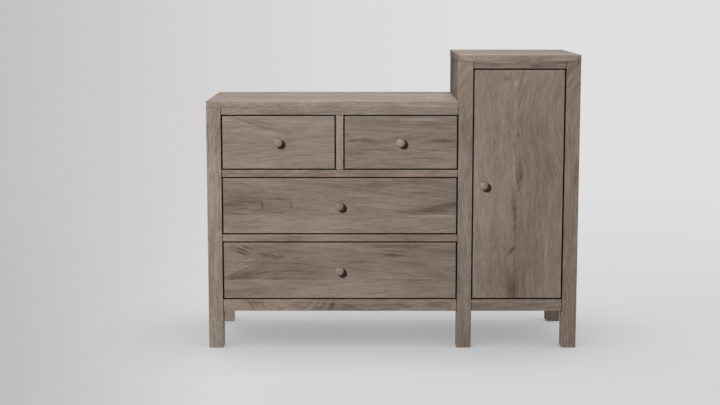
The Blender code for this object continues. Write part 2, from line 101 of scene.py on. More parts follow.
# How much each feature changes the tone of the wood, which runs from 0, darkest, to 1, palest
CLOUD_TONE = 0.42
PATCH_TONE = 0.38
STREAK_TONE = 0.38
DASH_TONE = 0.3
FIBRE_TONE = 0.36
PORE_TONE = 0.12
RING_TONE = 0.14
SEAM_TONE = 0.16
END_GRAIN_TONE = 0.24
WORN_AND_HIGHLIT_TONE = 0.26
PAINTED_HIGHLIGHT_TONE = 0.14

# Distances from an edge or joint at which a band or line on the wood starts to show and shows in full
END_GRAIN = (0.0022, 0.0012)
WORN_AND_HIGHLIT_EDGE = (0.0032, 0.0)
PAINTED_HIGHLIGHT_EDGE = (0.006, 0.002)
GAP_SHADE_SIDE = (0.0022, 0.0012)
GAP_SHADE_BEHIND = (0.0, 0.00012)
MITRE_LINE = (0.0022, 0.0006)
JOINT_LINE = (0.0009, 0.0002)

# How far the grain of a mitred end is moved on, so that it differs from the face's
MITRE_SHIFT = 0.3


class Value:
    """A socket of a node tree; arithmetic on it adds Math nodes."""

    def __init__(self, tree, socket):
        self.tree = tree
        self.socket = socket

    def math(self, operation, *others):
        return self.tree.node("ShaderNodeMath", {"operation": operation}, dict(enumerate((self, *others))))

    def reflected(self, operation, other):
        return self.tree.node("ShaderNodeMath", {"operation": operation}, {0: other, 1: self})

    def __add__(self, other):
        return self.math("ADD", other)

    def __radd__(self, other):
        return self.reflected("ADD", other)

    def __sub__(self, other):
        return self.math("SUBTRACT", other)

    def __rsub__(self, other):
        return self.reflected("SUBTRACT", other)

    def __mul__(self, other):
        return self.math("MULTIPLY", other)

    def __rmul__(self, other):
        return self.reflected("MULTIPLY", other)

    def __truediv__(self, other):
        return self.math("DIVIDE", other)

    def __gt__(self, other):
        return self.math("GREATER_THAN", other)

    def __abs__(self):
        return self.math("ABSOLUTE")

    def most(self, other):
        return self.math("MAXIMUM", other)

    def ease(self, start, end):
        """A smooth step from 0 at start to 1 at end, which may be the lower of the two."""
        limits = {0: self, 1: start, 2: end, 3: 0.0, 4: 1.0}
        return self.tree.node("ShaderNodeMapRange", {"interpolation_type": "SMOOTHSTEP"}, limits)


class Tree:
    """A node tree under construction."""

    def __init__(self, owner):
        owner.use_nodes = True
        self.nodes = owner.node_tree.nodes
        self.links = owner.node_tree.links
        self.nodes.clear()

    def node(self, kind, settings=None, sockets=None, output=0):
        """Adds a node: its settings first, then the values or links of its sockets; gives one output."""
        made = self.nodes.new(kind)
        for name, setting in (settings or {}).items():
            if name == "stops":
                set_stops(made.color_ramp, setting)
            else:
                setattr(made, name, setting)
        for name, value in (sockets or {}).items():
            if isinstance(value, Value):
                self.links.new(value.socket, made.inputs[name])
            else:
                made.inputs[name].default_value = value
        return Value(self, made.outputs[output]) if made.outputs else None

    def parts(self, vector):
        """The three numbers of a vector."""
        split = self.node("ShaderNodeSeparateXYZ", None, {0: vector}).socket.node
        return [Value(self, socket) for socket in split.outputs]

    def joined(self, x, y, z):
        return self.node("ShaderNodeCombineXYZ", None, {0: x, 1: y, 2: z})

    def object_place(self):
        """Where a point lies on the piece's own axes."""
        return self.node("ShaderNodeTexCoord", output="Object")

    def noise(self, place, stretch, shift=(0.0, 0.0, 0.0), detail=2.0, rough=0.5, output=0):
        """Noise at a place whose axes are stretched and shifted."""
        moved = self.node("ShaderNodeMapping", None, {"Vector": place, "Location": shift, "Scale": stretch})
        sockets = {"Vector": moved, "Scale": 1.0, "Detail": detail, "Roughness": rough}
        return self.node("ShaderNodeTexNoise", None, sockets, output)

    def line_noise(self, value):
        """Noise along one number."""
        sockets = {"W": value, "Scale": 1.0, "Detail": 1.0, "Roughness": 0.5}
        return self.node("ShaderNodeTexNoise", {"noise_dimensions": "1D"}, sockets)

    def mixed(self, share, first, second):
        """A colour between two colours, which a Mix node takes at sockets 6 and 7 and gives at output 2."""
        settings = {"data_type": "RGBA", "blend_type": "MIX"}
        return self.node("ShaderNodeMix", settings, {0: share, 6: first, 7: second}, 2)

    def ramp(self, value, stops):
        return self.node("ShaderNodeValToRGB", {"stops": stops}, {0: value})

    def bump(self, height, distance, strength):
        sockets = {"Strength": strength, "Distance": distance, "Height": height}
        return self.node("ShaderNodeBump", None, sockets)

    def looking(self):
        """One for rays from the camera, also by way of a glossy or clear surface, zero for light rays."""
        rays = self.node("ShaderNodeLightPath").socket.node
        names = ("Is Camera Ray", "Is Glossy Ray", "Is Transmission Ray")
        camera, glossy, clear = (Value(self, rays.outputs[name]) for name in names)
        return camera.most(glossy).most(clear)


def set_stops(ramp, stops):
    """Gives a colour ramp these stops of place and colour, from 0 to 1."""
    for place, _ in stops[1:-1]:
        ramp.elements.new(place)
    for element, (place, colour) in zip(ramp.elements, stops):
        element.position = place
        element.color = colour


def linear(display):
    """The linear colour of a display colour given out of 255."""
    shares = [value / 255 for value in display]
    levels = [s / 12.92 if s <= 0.04045 else ((s + 0.055) / 1.055) ** 2.4 for s in shares]
    return (*levels, 1.0)


def even_stops(colours):
    """Stops of a ramp that spread these colours evenly."""
    return [(i / (len(colours) - 1), linear(colour)) for i, colour in enumerate(colours)]


def new_finish(name):
    """A new material and its empty node tree."""
    material = bpy.data.materials.new(name)
    return material, Tree(material)


def set_shader(tree, sockets):
    """Ends a material with a shader that has these sockets."""
    shader = tree.node("ShaderNodeBsdfPrincipled", None, sockets)
    tree.node("ShaderNodeOutputMaterial", None, {"Surface": shader})


# Figure of a sawn board: where its heart lies across and behind the shown face, how far the heart leans
# across and the rings widen per metre along the grain, the width of a yearly ring, how far the grain
# sways, where the noise starts, how far from the heart the rings show, and where along the board the
# grain starts to bend and how strongly
Figure = namedtuple(
    "Figure",
    "across depth slant taper ring sway seed reach bend_from bend",
    defaults=(BEYOND, 0.0, 0.0),
)
# A glued joint across the face: its place, the next board's slide along the grain, its shift across and
# its tone, then the bulge of the next board's grain: its place along the board, half its length, its height
Joint = namedtuple(
    "Joint",
    "place slide shift tone bulge_at bulge_reach bulge",
    defaults=(0.0, 1.0, 0.0),
)
# Grain that fans out towards the left end of a front: where it starts, the height of its middle line, the
# height of the joint that it ends on, and how strongly it spreads
Fan = namedtuple("Fan", "start axis floor spread")
# A side of a board that lines an opening and gets painted shade, and the heights between which it does
ShadedSide = namedtuple("ShadedSide", "side low high", defaults=(-BEYOND, BEYOND))
# A streak, knot or patch of tone on a board, and in a few places a painted highlight that lightens shade: x
# and z of its middle, half its length and width, its turn in degrees, down to the right, how much it darkens
# the wood and how many rings swirl round it
Mark = namedtuple("Mark", "x z length width turn tone swirl", defaults=(0.0,))


def mark_mask(tree, place, centre, mark):
    """One in the middle of a mark, zero round it."""
    spot = Vector((mark.x, centre.y, mark.z)) - centre
    turn = (0.0, math.radians(mark.turn), 0.0)
    size = (mark.length, 1.0, mark.width)
    sockets = {"Vector": place, "Location": spot, "Rotation": turn, "Scale": size}
    inside = tree.node("ShaderNodeMapping", {"vector_type": "TEXTURE"}, sockets)
    reach = tree.node("ShaderNodeVectorMath", {"operation": "LENGTH"}, {0: inside}, 1)
    return reach.ease(1.0, 0.0)


def mark_tones(tree, place, centre, marks):
    """How much the marks darken a board, and how many rings swirl round them."""
    dark = 0.0
    swirl = 0.0
    for mark in marks:
        mask = mark_mask(tree, place, centre, mark)
        dark = dark + mask * mark.tone
        if mark.swirl:
            swirl = swirl + mask * mark.swirl
    return dark, swirl


def worn_and_highlit_edges(parts, half, joined):
    """One along the free edges of a board, where two of its faces meet and get wear and a painted highlight,
    zero inside its faces.
    """
    near = -1.0
    for i, part in enumerate(parts):
        low_free = not any(side[i] < 0 for side in joined)
        high_free = not any(side[i] > 0 for side in joined)
        if low_free and high_free:
            inside = half[i] - abs(part)
        elif low_free:
            inside = part + half[i]
        elif high_free:
            inside = half[i] - part
        else:
            continue
        near = inside.ease(*WORN_AND_HIGHLIT_EDGE) + near
    return near.most(0.0)


def painted_gap_shade_mask(parts, centre, half, shaded_sides):
    """One on the sides of a board that line an opening, behind its front edge, where shade is painted in;
    zero elsewhere.
    """
    mask = 0.0
    for shaded_side in shaded_sides:
        i = max(range(3), key=lambda axis: abs(shaded_side.side[axis]))
        beside = (half[i] - parts[i] * shaded_side.side[i]).ease(*GAP_SHADE_SIDE)
        within = (parts[2] > shaded_side.low - centre.z) * ((shaded_side.high - centre.z - parts[2]) > 0.0)
        mask = (beside * within).most(mask)
    return mask * (parts[1] + half[1]).ease(*GAP_SHADE_BEHIND)


def grain_noise(tree, grain, start, kind, output=0):
    """Noise of one kind that runs with the grain."""
    lengthwise, crosswise, detail, rough = kind
    return tree.noise(grain, (lengthwise, crosswise, crosswise), start, detail, rough, output)


def laid_grain(parts, axes, centre, half, figure, joints, mitres, fan):
    """Places along, across and into the grain of a board, its joint lines and their steps of tone."""
    along, across, depth = (parts[axis] for axis in axes)
    seam = 0.0
    step_tone = 0.0
    # Nearer to a mitred end than to the upper face, the grain runs upright
    for end in mitres:
        slope = (half.x - parts[0] * end) - (half.z - parts[2])
        beyond = slope.math("LESS_THAN", 0.0)
        seam = seam + abs(slope).ease(*MITRE_LINE)
        along = along + beyond * (parts[2] - along)
        across = across + beyond * (parts[0] + MITRE_SHIFT - across)
        depth = depth + beyond * (parts[1] - depth)
    straight = across
    if fan:
        lift = (fan.start - centre.x - along).most(0.0)
        spread = lift * lift * fan.spread * (straight > fan.floor - centre.z) + 1.0
        across = (across - (fan.axis - centre.z)) / spread
    for joint in joints:
        at = joint.place - centre[axes[1]]
        beyond = straight > at
        seam = seam + abs(straight - at).ease(*JOINT_LINE)
        step_tone = step_tone + beyond * joint.tone
        if joint.bulge:
            bulge = abs(along - joint.bulge_at).ease(joint.bulge_reach, 0.0) * joint.bulge
            across = across + beyond * bulge
        along = along + beyond * joint.slide
        across = across + beyond * joint.shift
    if figure.bend:
        lift = (along - figure.bend_from).most(0.0)
        across = across - lift * lift * figure.bend
    return (along, across, depth), seam, step_tone


def late_wood(tree, figure, along, across, depth, swirl):
    """The dark lines of late wood in the yearly rings round the heart of a board."""
    side = across - figure.across - along * figure.slant
    back = depth + figure.depth
    radius = (side * side + back * back).math("SQRT") + along * figure.taper
    age = radius / figure.ring + (swirl + figure.seed)
    age = age + tree.line_noise(age * 0.4) * 1.6
    phase = age.math("FRACT")
    line = phase.ease(0.1, 0.85) * phase.ease(1.0, 0.88)
    shown = tree.line_noise(age * 0.9 + 5.3).ease(0.3, 0.72)
    return line * shown * abs(side).ease(figure.reach, figure.reach * 0.7)


def wood(
    name,
    low,
    high,
    axes,
    figure,
    level=0.6,
    colours=GREY_WASH,
    joints=(),
    mitres=(),
    marks=(),
    fan=None,
    contrast=1.0,
    fine=1.0,
    rings=1.0,
    joined=(),
    shaded_sides=(),
    gap_shade_colour=CASE_GAP_SHADE,
):
    """Solid wood with yearly rings, streaks, fibres, pores, glued joints, knots, worn edges, painted
    highlights on edges and painted shade on sides that line an opening.
    """
    material, tree = new_finish(name)
    centre = (low + high) / 2
    half = (high - low) / 2
    place = tree.node("ShaderNodeMapping", None, {"Vector": tree.object_place(), "Location": -centre})
    parts = tree.parts(place)
    end_grain = (half[axes[0]] - abs(parts[axes[0]])).ease(*END_GRAIN)
    laid, seam, step_tone = laid_grain(parts, axes, centre, half, figure, joints, mitres, fan)
    along, across, depth = laid

    start = (figure.seed, figure.seed * 0.7, figure.seed * 1.3)
    flow = grain_noise(tree, tree.joined(along, across, depth), start, FLOW, 1)
    sway_across, sway_depth, cloud = tree.parts(flow)
    across = across + (sway_across - 0.5) * (4 * figure.sway)
    grain = tree.joined(along, across, depth)
    patch, streak, dash, fibre, hatch, pits = (
        grain_noise(tree, grain, start, kind) for kind in (PATCH, STREAK, DASH, FIBRE, HATCH, PORE)
    )
    pore = pits.ease(0.62, 0.72)

    dark, swirl = mark_tones(tree, place, centre, marks)
    if marks:
        dark = dark * (streak * 0.9 + dash * 0.9 + hatch * 0.8 - 0.3)
    depth = depth + (sway_depth - 0.5) * (4 * figure.sway)
    late = late_wood(tree, figure, along, across, depth, swirl)

    thin = contrast * fine
    tone = (cloud - 0.5) * (CLOUD_TONE * contrast) + (patch - 0.5) * (PATCH_TONE * contrast)
    tone = tone + level + step_tone + (streak - 0.5) * (STREAK_TONE * contrast)
    tone = tone + (dash - 0.5) * (DASH_TONE * thin) + (fibre - 0.5) * (FIBRE_TONE * thin)
    tone = tone - pore * (PORE_TONE * thin) - late * (RING_TONE * rings * contrast)
    tone = tone - dark - seam * SEAM_TONE - end_grain * END_GRAIN_TONE
    # Free edges are lightened: partly wear, partly a painted highlight where the rounded edges catch the
    # light
    worn_and_highlit = worn_and_highlit_edges(parts, half, joined)
    tone = tone + worn_and_highlit * streak.ease(0.2, 0.7) * WORN_AND_HIGHLIT_TONE
    # Painted highlight: a pale band along the upper edge of boards whose upper side lines an opening
    if any(shaded_side.side.z > 0 for shaded_side in shaded_sides):
        tone = tone + (half.z - parts[2]).ease(*PAINTED_HIGHLIGHT_EDGE) * PAINTED_HIGHLIGHT_TONE
    colour = tree.ramp(tone, even_stops(colours))
    # Painted shade: the sides that line an opening are darkened towards the shade colour of the gap
    if shaded_sides:
        shade = painted_gap_shade_mask(parts, centre, half, shaded_sides) * (0.86 + streak * 0.14)
        colour = tree.mixed(shade, colour, linear(gap_shade_colour))

    height = fibre * 0.5 + streak * 0.5 - pore * 0.8 - late * 0.25 - seam
    sockets = {
        "Base Color": colour,
        "Roughness": 0.58 + (streak - 0.5) * 0.18 + pore * 0.1 - worn_and_highlit * 0.06,
        "Normal": tree.bump(height, 0.0003, 0.35),
        "Specular IOR Level": 0.12,
    }
    set_shader(tree, sockets)
    return material


def dark_steel(name):
    """Blackened steel with fine brush lines, rubbed a little brighter in places."""
    material, tree = new_finish(name)
    where = tree.object_place()
    brush = tree.noise(where, (90.0, 2500.0, 2500.0), rough=0.6)
    cloud = tree.noise(where, (60.0, 60.0, 60.0), (0.3, 0.1, 0.6), 3.0, 0.6)
    sockets = {
        "Base Color": tree.ramp(cloud * 0.6 + brush * 0.4, even_stops(BLACK_STEEL)),
        "Metallic": 1.0,
        "Roughness": 0.4 + brush * 0.16 + cloud * 0.08,
        "Normal": tree.bump(brush, 0.00005, 0.3),
    }
    set_shader(tree, sockets)
    return material


def moulded_plastic(name):
    """Brown moulded plastic with a fine spark texture."""
    material, tree = new_finish(name)
    where = tree.object_place()
    grit = tree.noise(where, (1600.0, 1600.0, 1600.0), rough=0.6)
    cloud = tree.noise(where, (120.0, 120.0, 120.0), (0.4, 0.0, 0.2))
    sockets = {
        "Base Color": tree.ramp(cloud * 0.7 + grit * 0.3, even_stops(BROWN_PLASTIC)),
        "Roughness": 0.42 + grit * 0.2,
        "Normal": tree.bump(grit, 0.0001, 0.3),
    }
    set_shader(tree, sockets)
    return material


def piece(name, shape, finish, body, slot, *nodes):
    """A shown piece made from a bmesh, riding on a body and standing for these nodes of the frame."""
    mesh = bpy.data.meshes.new(name)
    for face in shape.faces:
        face.smooth = True
    shape.to_mesh(mesh)
    shape.free()
    mesh.materials.append(finish)
    made = bpy.data.objects.new(name, mesh)
    bpy.context.scene.collection.objects.link(made)
    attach(made, body)
    if nodes:
        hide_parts(*nodes)
    return made


def even_shading(made):
    """Lets the flat faces keep their own shading beside the rounded and square edges."""
    made.data.set_sharp_from_angle(angle=SHARP_ANGLE)
    modifier = made.modifiers.new("even_shading", "WEIGHTED_NORMAL")
    modifier.keep_sharp = True


def board_shape(low, high, edge, joined=()):
    """A board with rounded edges, square where its joined sides butt against others."""
    shape = bmesh.new()
    bmesh.ops.create_cube(shape, size=2.0)
    eased = [
        line
        for line in shape.edges
        if not any(all(vert.co.dot(side) > 0.0 for vert in line.verts) for side in joined)
    ]
    bmesh.ops.scale(shape, vec=(high - low) / 2, verts=shape.verts)
    bmesh.ops.translate(shape, vec=(low + high) / 2, verts=shape.verts)
    bmesh.ops.bevel(
        shape,
        geom=eased,
        offset=edge,
        offset_type="OFFSET",
        segments=EDGE_STEPS,
        profile=0.5,
        affect="EDGES",
        material=-1,
        clamp_overlap=True,
    )
    return shape


def board(node, axes, figure, body, slot, edge, joined=(), **looks):
    """A finely eased board in place of a node of the frame."""
    low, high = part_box(node)
    finish = wood(node + "_wood", low, high, axes, figure, joined=joined, **looks)
    even_shading(piece(node + "_board", board_shape(low, high, edge, joined), finish, body, slot, node))


def merged_shape(node):
    """The frame's own shape of a node, its loose triangles joined up again."""
    shape = bmesh.new()
    shape.from_mesh(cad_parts[node].data)
    shape.transform(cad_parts[node].matrix_world)
    bmesh.ops.remove_doubles(shape, verts=shape.verts, dist=WELD_GAP)
    bmesh.ops.dissolve_limit(shape, angle_limit=math.radians(1), verts=shape.verts, edges=shape.edges)
    return shape


def seated_board(node, axes, figure, body, slot, joined=(), **looks):
    """A board that keeps the seats cut in its node of the frame."""
    low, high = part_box(node)
    finish = wood(node + "_wood", low, high, axes, figure, joined=joined, **looks)
    even_shading(piece(node + "_board", merged_shape(node), finish, body, slot, node))


def cover(node, finish):
    """Gives a node of the frame this finish."""
    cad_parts[node].data.materials.clear()
    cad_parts[node].data.materials.append(finish)


def dress(node, axes, figure, **looks):
    """Gives a node of the frame its wood."""
    low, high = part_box(node)
    cover(node, wood(node + "_wood", low, high, axes, figure, **looks))


def turned_shape(profile, base):
    """A shape turned round an axis towards -Y, from points of radius and height that start and end on it."""
    shape = bmesh.new()
    points = [shape.verts.new((radius, -height, 0.0)) for radius, height in profile]
    edges = [shape.edges.new(pair) for pair in zip(points, points[1:])]
    bmesh.ops.spin(
        shape,
        geom=points + edges,
        cent=(0.0, 0.0, 0.0),
        axis=(0.0, 1.0, 0.0),
        dvec=(0.0, 0.0, 0.0),
        angle=2 * math.pi,
        steps=ROUND_STEPS,
        use_merge=True,
    )
    bmesh.ops.remove_doubles(shape, verts=shape.verts, dist=WELD_GAP)
    bmesh.ops.recalc_face_normals(shape, faces=shape.faces)
    bmesh.ops.translate(shape, vec=base, verts=shape.verts)
    return shape


def arc(start, end, steps, start_angle, end_angle, power=1.0):
    """Points after start on a quarter turn to end, between two angles in degrees; a low power is boxier."""
    turns = [math.radians(start_angle + (end_angle - start_angle) * i / steps) for i in range(steps + 1)]
    bends = [
        tuple(math.copysign(abs(share) ** power, share) for share in (math.cos(turn), math.sin(turn)))
        for turn in turns
    ]
    first, last = bends[0], bends[-1]
    return [
        tuple(start[i] + (end[i] - start[i]) * (bend[i] - first[i]) / (last[i] - first[i]) for i in (0, 1))
        for bend in bends[1:]
    ]


def make_knob(name, body, level):
    """A turned knob: a flared foot drawn in to a neck, then a mushroom head with a flattened dome."""
    low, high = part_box(name)
    middle = (low + high) / 2
    foot = (0.009, 0.0)
    neck = (0.007, 0.007)
    rim = ((high.x - low.x) / 2, 0.016)
    crown = (0.0, high.y - low.y)
    profile = [
        (0.0, 0.0),
        foot,
        *arc(foot, neck, 8, -90, -180),
        *arc(neck, rim, 10, -90, 0),
        *arc(rim, crown, 18, 0, 90, 0.8),
    ]
    figure = Figure(0.013, 0.02, 0.0, 0.0, 0.0045, 0.002, middle.x * 7 + middle.z * 3)
    finish = wood(name + "_wood", low, high, UPRIGHT, figure, level)
    shape = turned_shape(profile, Vector((middle.x, high.y, middle.z)))
    made = piece(name + "_turned", shape, finish, body, "knob_wood", name)
    made.data.set_sharp_from_angle(angle=math.radians(60))


def make_posts():
    """The five posts, which run down to the floor as legs."""
    case_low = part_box("low_bottom_rail")[0].z
    low_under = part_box("low_top")[0].z
    tall_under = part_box("tall_top")[0].z
    posts = {
        "front_left_post": {
            "figure": Figure(-0.05, 0.09, 0.02, 0.06, 0.006, 0.01, 1.3, bend_from=0.25, bend=1.2),
            "level": 0.64,
            "contrast": 1.15,
            "shaded_sides": [ShadedSide(RIGHTWARD, case_low, low_under)],
            "marks": [Mark(-0.624, 0.03, 0.2, 0.2, 90, -0.12)],
        },
        "front_middle_post": {
            "figure": Figure(0.03, 0.08, 0.0, 0.05, 0.006, 0.012, 4.1, bend_from=0.28, bend=2.4),
            "level": 0.57,
            "shaded_sides": [ShadedSide(LEFTWARD, case_low, low_under), ShadedSide(RIGHTWARD, case_low, tall_under)],
            "marks": [Mark(0.252, 0.03, 0.2, 0.2, 90, 0.1)],
        },
        "front_right_post": {
            "figure": Figure(0.04, 0.08, 0.0, 0.04, 0.006, 0.012, 7.7, bend_from=0.28, bend=2.2),
            "level": 0.555,
            "shaded_sides": [ShadedSide(LEFTWARD, case_low, tall_under)],
            "marks": [Mark(0.624, 0.45, 0.2, 0.1, 90, 0.06), Mark(0.624, 0.03, 0.15, 0.2, 90, -0.04)],
        },
        "rear_left_post": {
            "figure": Figure(-0.04, 0.06, 0.01, 0.02, 0.006, 0.008, 9.2),
            "level": 0.65,
        },
        "rear_right_post": {
            "figure": Figure(0.05, 0.05, 0.0, 0.02, 0.006, 0.008, 12.4),
            "level": 0.66,
        },
    }
    shared = {"body": "case", "slot": "case_wood", "edge": CASE_EDGE, "joined": [UPPER], "fine": 1.35}
    for node, looks in posts.items():
        board(node, UPRIGHT, **shared, **looks)


def make_tops():
    """The two tops, each glued up from four boards, with mitred ends where they show."""
    tops = {
        "low_top": {
            "figure": Figure(0.05, 0.06, 0.03, 0.05, 0.012, 0.02, 2.6),
            "level": 0.665,
            "joined": [UNDER, RIGHTWARD],
            "mitres": [-1],
            "marks": (
                Mark(-0.44, 0.85, 0.16, 0.03, 0, 0.26),
                Mark(-0.2, 0.85, 0.1, 0.03, 0, 0.18),
                Mark(0.17, 0.85, 0.12, 0.03, 0, -0.16),
                # Painted highlight: lightens the shade that the tall section casts on the right end of the
                # top
                Mark(0.19, 0.895, 0.13, 0.03, 0, -0.4),
            ),
        },
        "tall_top": {
            "figure": Figure(-0.03, 0.07, 0.02, 0.06, 0.012, 0.02, 6.6),
            "level": 0.69,
            "joined": [UNDER],
            "mitres": [-1, 1],
            "marks": [Mark(0.437, 1.01, 0.4, 0.03, 0, 0.06)],
        },
    }
    shared = {
        "body": "case",
        "slot": "case_wood",
        "edge": CASE_EDGE,
        "contrast": 0.9,
        "fine": 2.0,
        "joints": (
            Joint(-0.087, 0.5, 0.2, -0.12),
            Joint(0.02, 0.9, 0.4, 0.07),
            Joint(0.15, 0.3, 0.3, -0.06),
        ),
    }
    for node, looks in tops.items():
        board(node, FLAT, **shared, **looks)


def make_rails():
    """The rails between the posts, and the upright between the two small drawers."""
    ends = [LEFTWARD, RIGHTWARD]
    bottom_marks = (
        *(Mark(-0.5 + 0.02 * i, 0.1545, 0.03, 0.008, 50, 0.26 - 0.06 * i) for i in range(3)),
        *(Mark(-0.297 + 0.025 * i, 0.1535, 0.03, 0.008, -46, 0.2) for i in range(3)),
        Mark(-0.213, 0.153, 0.03, 0.014, -60, 0.3),
        Mark(-0.25, 0.146, 0.07, 0.01, -12, 0.2),
        Mark(-0.15, 0.148, 0.07, 0.01, 14, 0.16),
        Mark(0.17, 0.155, 0.08, 0.018, 0, 0.18),
    )
    low_marks = (
        Mark(-0.54, 0.836, 0.13, 0.03, 0, -0.13),
        Mark(-0.34, 0.836, 0.06, 0.03, 0, 0.1),
        Mark(0.15, 0.836, 0.16, 0.03, 0, 0.05),
        # Painted highlight: a pale strip along the rail's upper edge lightens the shadow line under the top
        Mark(-0.19, 0.8515, 0.9, 0.0042, 0, -0.2),
    )
    over = ShadedSide(UPPER)
    under = ShadedSide(UNDER)
    rails = (
        ("low_top_rail", [*ends, UPPER], [under], 0.565, 1.0, low_marks),
        ("upper_drawer_rail", ends, [over, under], 0.515, 1.0, ()),
        ("lower_drawer_rail", ends, [over, under], 0.56, 1.0, ()),
        ("low_bottom_rail", ends, [over], 0.64, 1.3, bottom_marks),
    )
    for i, (node, joined, shaded_sides, level, contrast, marks) in enumerate(rails):
        figure = Figure(0.02 - 0.01 * i, 0.05, 0.03, 0.06, 0.006, 0.01, 3.1 * i + 0.4)
        looks = {"level": level, "contrast": contrast, "shaded_sides": shaded_sides, "marks": marks}
        board(node, LEVEL, figure, "case", "case_wood", FRONT_EDGE, joined, **looks)
    top_marks = (
        Mark(0.343, 1.0, 0.04, 0.008, 0, 0.2),
        Mark(0.494, 0.997, 0.04, 0.008, 0, 0.2),
        # Painted highlight: a pale strip along the rail's upper edge lightens the shadow line under the top
        Mark(0.438, 1.0115, 0.4, 0.0042, 0, -0.28),
    )
    tall_rails = (
        ("tall_top_rail", [*ends, UPPER], [under], 0.425, 1.0, top_marks),
        ("tall_bottom_rail", ends, [over], 0.56, 1.35, ()),
    )
    for i, (node, joined, shaded_sides, level, contrast, marks) in enumerate(tall_rails):
        figure = Figure(0.03, 0.05, -0.03, 0.06, 0.006, 0.01, 2.3 * i + 8.8)
        looks = {"level": level, "contrast": contrast, "shaded_sides": shaded_sides, "marks": marks}
        seated_board(node, LEVEL, figure, "case", "case_wood", joined, **looks)
    figure = Figure(0.04, 0.05, 0.0, 0.02, 0.006, 0.01, 5.9)
    looks = {"level": 0.7, "shaded_sides": [ShadedSide(side) for side in ends]}
    board("drawer_divider", UPRIGHT, figure, "case", "case_wood", FRONT_EDGE, [UNDER, UPPER], **looks)


def sink_field(shape, outward, sill, stile):
    """Sinks a panel's outer face behind its frame, above the sill and in front of the rear stile."""
    for place, across in ((Vector((0, 0, sill)), UPPER), (Vector((0, stile, 0)), BACKWARD)):
        geometry = [*shape.verts, *shape.edges, *shape.faces]
        bmesh.ops.bisect_plane(shape, geom=geometry, dist=WELD_GAP, plane_co=place, plane_no=across)
    shape.normal_update()
    field = [
        face
        for face in shape.faces
        if face.normal.dot(outward) > 0.99
        and face.calc_center_median().z > sill
        and face.calc_center_median().y < stile
    ]
    bmesh.ops.inset_region(
        shape,
        faces=field,
        thickness=RECESS_SLOPE,
        depth=-PANEL_RECESS,
        use_boundary=True,
        use_even_offset=True,
    )


def make_panels():
    """Side panels sunk behind their frames, the backs and the shelves."""
    rail_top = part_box("low_bottom_rail")[1].z
    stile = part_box("rear_left_post")[0].y
    # The partition's rear stile has its own grain from just in front of the step
    stile_joint = Joint(stile - 0.0016, 0.7, 0.6, 0.02)
    panels = (
        ("left_side_panel", LEFTWARD, rail_top, BEYOND, 0.6, ()),
        # The partition's low tone is painted shade on the tall section's left side, which faces away from
        # most of the light
        ("partition_panel", LEFTWARD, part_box("low_top")[1].z, stile, 0.39, [stile_joint]),
        ("right_side_panel", RIGHTWARD, rail_top, BEYOND, 0.6, ()),
    )
    for i, (node, outward, sill, end, level, joints) in enumerate(panels):
        low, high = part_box(node)
        figure = Figure(0.04 * i - 0.05, 0.06, 0.03, 0.07, 0.007, 0.015, 4.7 * i + 1.9)
        finish = wood(node + "_wood", low, high, SIDE_ON, figure, level, joints=joints)
        shape = merged_shape(node)
        sink_field(shape, outward, sill, end)
        even_shading(piece(node + "_board", shape, finish, "case", "case_wood", node))
    for i, node in enumerate(("low_back_panel", "tall_back_panel")):
        figure = Figure(0.03, 0.07, 0.02, 0.05, 0.008, 0.02, 3.7 * i + 11.3)
        dress(node, UPRIGHT, figure, level=0.55)
    for i, node in enumerate(("cupboard_floor", "lower_shelf", "upper_shelf")):
        figure = Figure(0.05 - 0.04 * i, 0.06, 0.03, 0.06, 0.007, 0.02, 5.3 * i + 6.1)
        dress(node, FLAT, figure, level=0.6)


